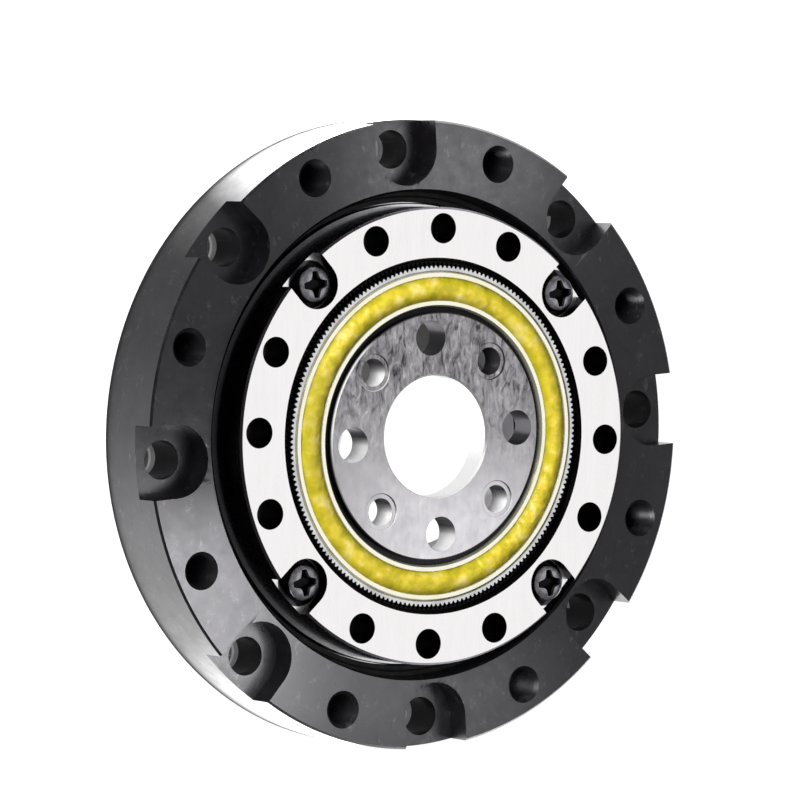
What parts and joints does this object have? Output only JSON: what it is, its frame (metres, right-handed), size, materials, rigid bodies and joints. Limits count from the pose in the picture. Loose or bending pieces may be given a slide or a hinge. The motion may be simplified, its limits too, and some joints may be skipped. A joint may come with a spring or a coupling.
{
  "type": "strain wave gear",
  "caption": "Flat strain wave reduction gear: an oval hub turns inside a thin toothed hat and drives a bright output ring, which a crossed roller bearing carries in a black flanged ring.",
  "frame": {"origin": "centre of the back face of the outer ring, on the axis of the gear", "axes": "+Z along the axis, out of the front where the output face is; +X through one tapped hole of the output ring"},
  "size_m": [0.052, 0.052, 0.0094],
  "materials": {
    "black_oxide_steel": "black oxide on ground steel, faintly mottled, satin",
    "bright_steel": "ground and lapped bright steel",
    "ground_steel": "ground grey steel with faint machining marks",
    "flexspline_steel": "heat treated alloy steel, bright on the teeth",
    "race_steel": "bearing steel under a film of grease",
    "bearing_steel": "hardened and polished bearing steel",
    "screw_steel": "plain turned steel",
    "black_screw_steel": "blackened alloy steel, semi-gloss",
    "seal_rubber": "matt black nitrile rubber",
    "cage_plastic": "natural moulded nylon",
    "yellow_grease": "glossy lumpy yellow grease, soft"
  },
  "bodies": {
    "housing": {"outer_ring": "black_oxide_steel", "filling_plug": "black_oxide_steel", "plug_pin": "screw_steel", "oil_seal": "seal_rubber", "flexspline": "flexspline_steel", "flange_screws": "black_screw_steel", "bearing_outer_race": "race_steel"},
    "output": {"circular_spline": "bright_steel", "inner_ring": "bearing_steel", "spline_screws": "black_screw_steel"},
    "wave_generator": {"generator_hub": "ground_steel", "bearing_inner_race": "race_steel"},
    "ball_set": {"ball_cage": "cage_plastic", "bearing_balls": "bearing_steel", "bearing_grease": "yellow_grease"},
    "roller_set": {"crossed_rollers_inward": "bearing_steel", "crossed_rollers_outward": "bearing_steel", "roller_spacers": "cage_plastic"}
  },
  "joints": [
    {"name": "wave_generator_spin", "type": "hinge", "parent": "housing", "child": "wave_generator", "pos_m": [0, 0, 0], "axis": [0, 0, 1], "continuous": true, "deforming": ["flexspline", "bearing_outer_race", "bearing_grease"]},
    {"name": "output_spin", "type": "hinge", "parent": "housing", "child": "output", "pos_m": [0, 0, 0], "axis": [0, 0, 1], "continuous": true},
    {"name": "ball_set_spin", "type": "hinge", "parent": "housing", "child": "ball_set", "pos_m": [0, 0, 0], "axis": [0, 0, 1], "continuous": true},
    {"name": "roller_set_spin", "type": "hinge", "parent": "housing", "child": "roller_set", "pos_m": [0, 0, 0], "axis": [0, 0, 1], "continuous": true}
  ],
  "couplings": [
    {"joint": "output_spin", "follows": "wave_generator_spin", "ratio": 0.009901},
    {"joint": "ball_set_spin", "follows": "wave_generator_spin", "ratio": 0.45657},
    {"joint": "roller_set_spin", "follows": "wave_generator_spin", "ratio": 0.0047755}
  ]
}
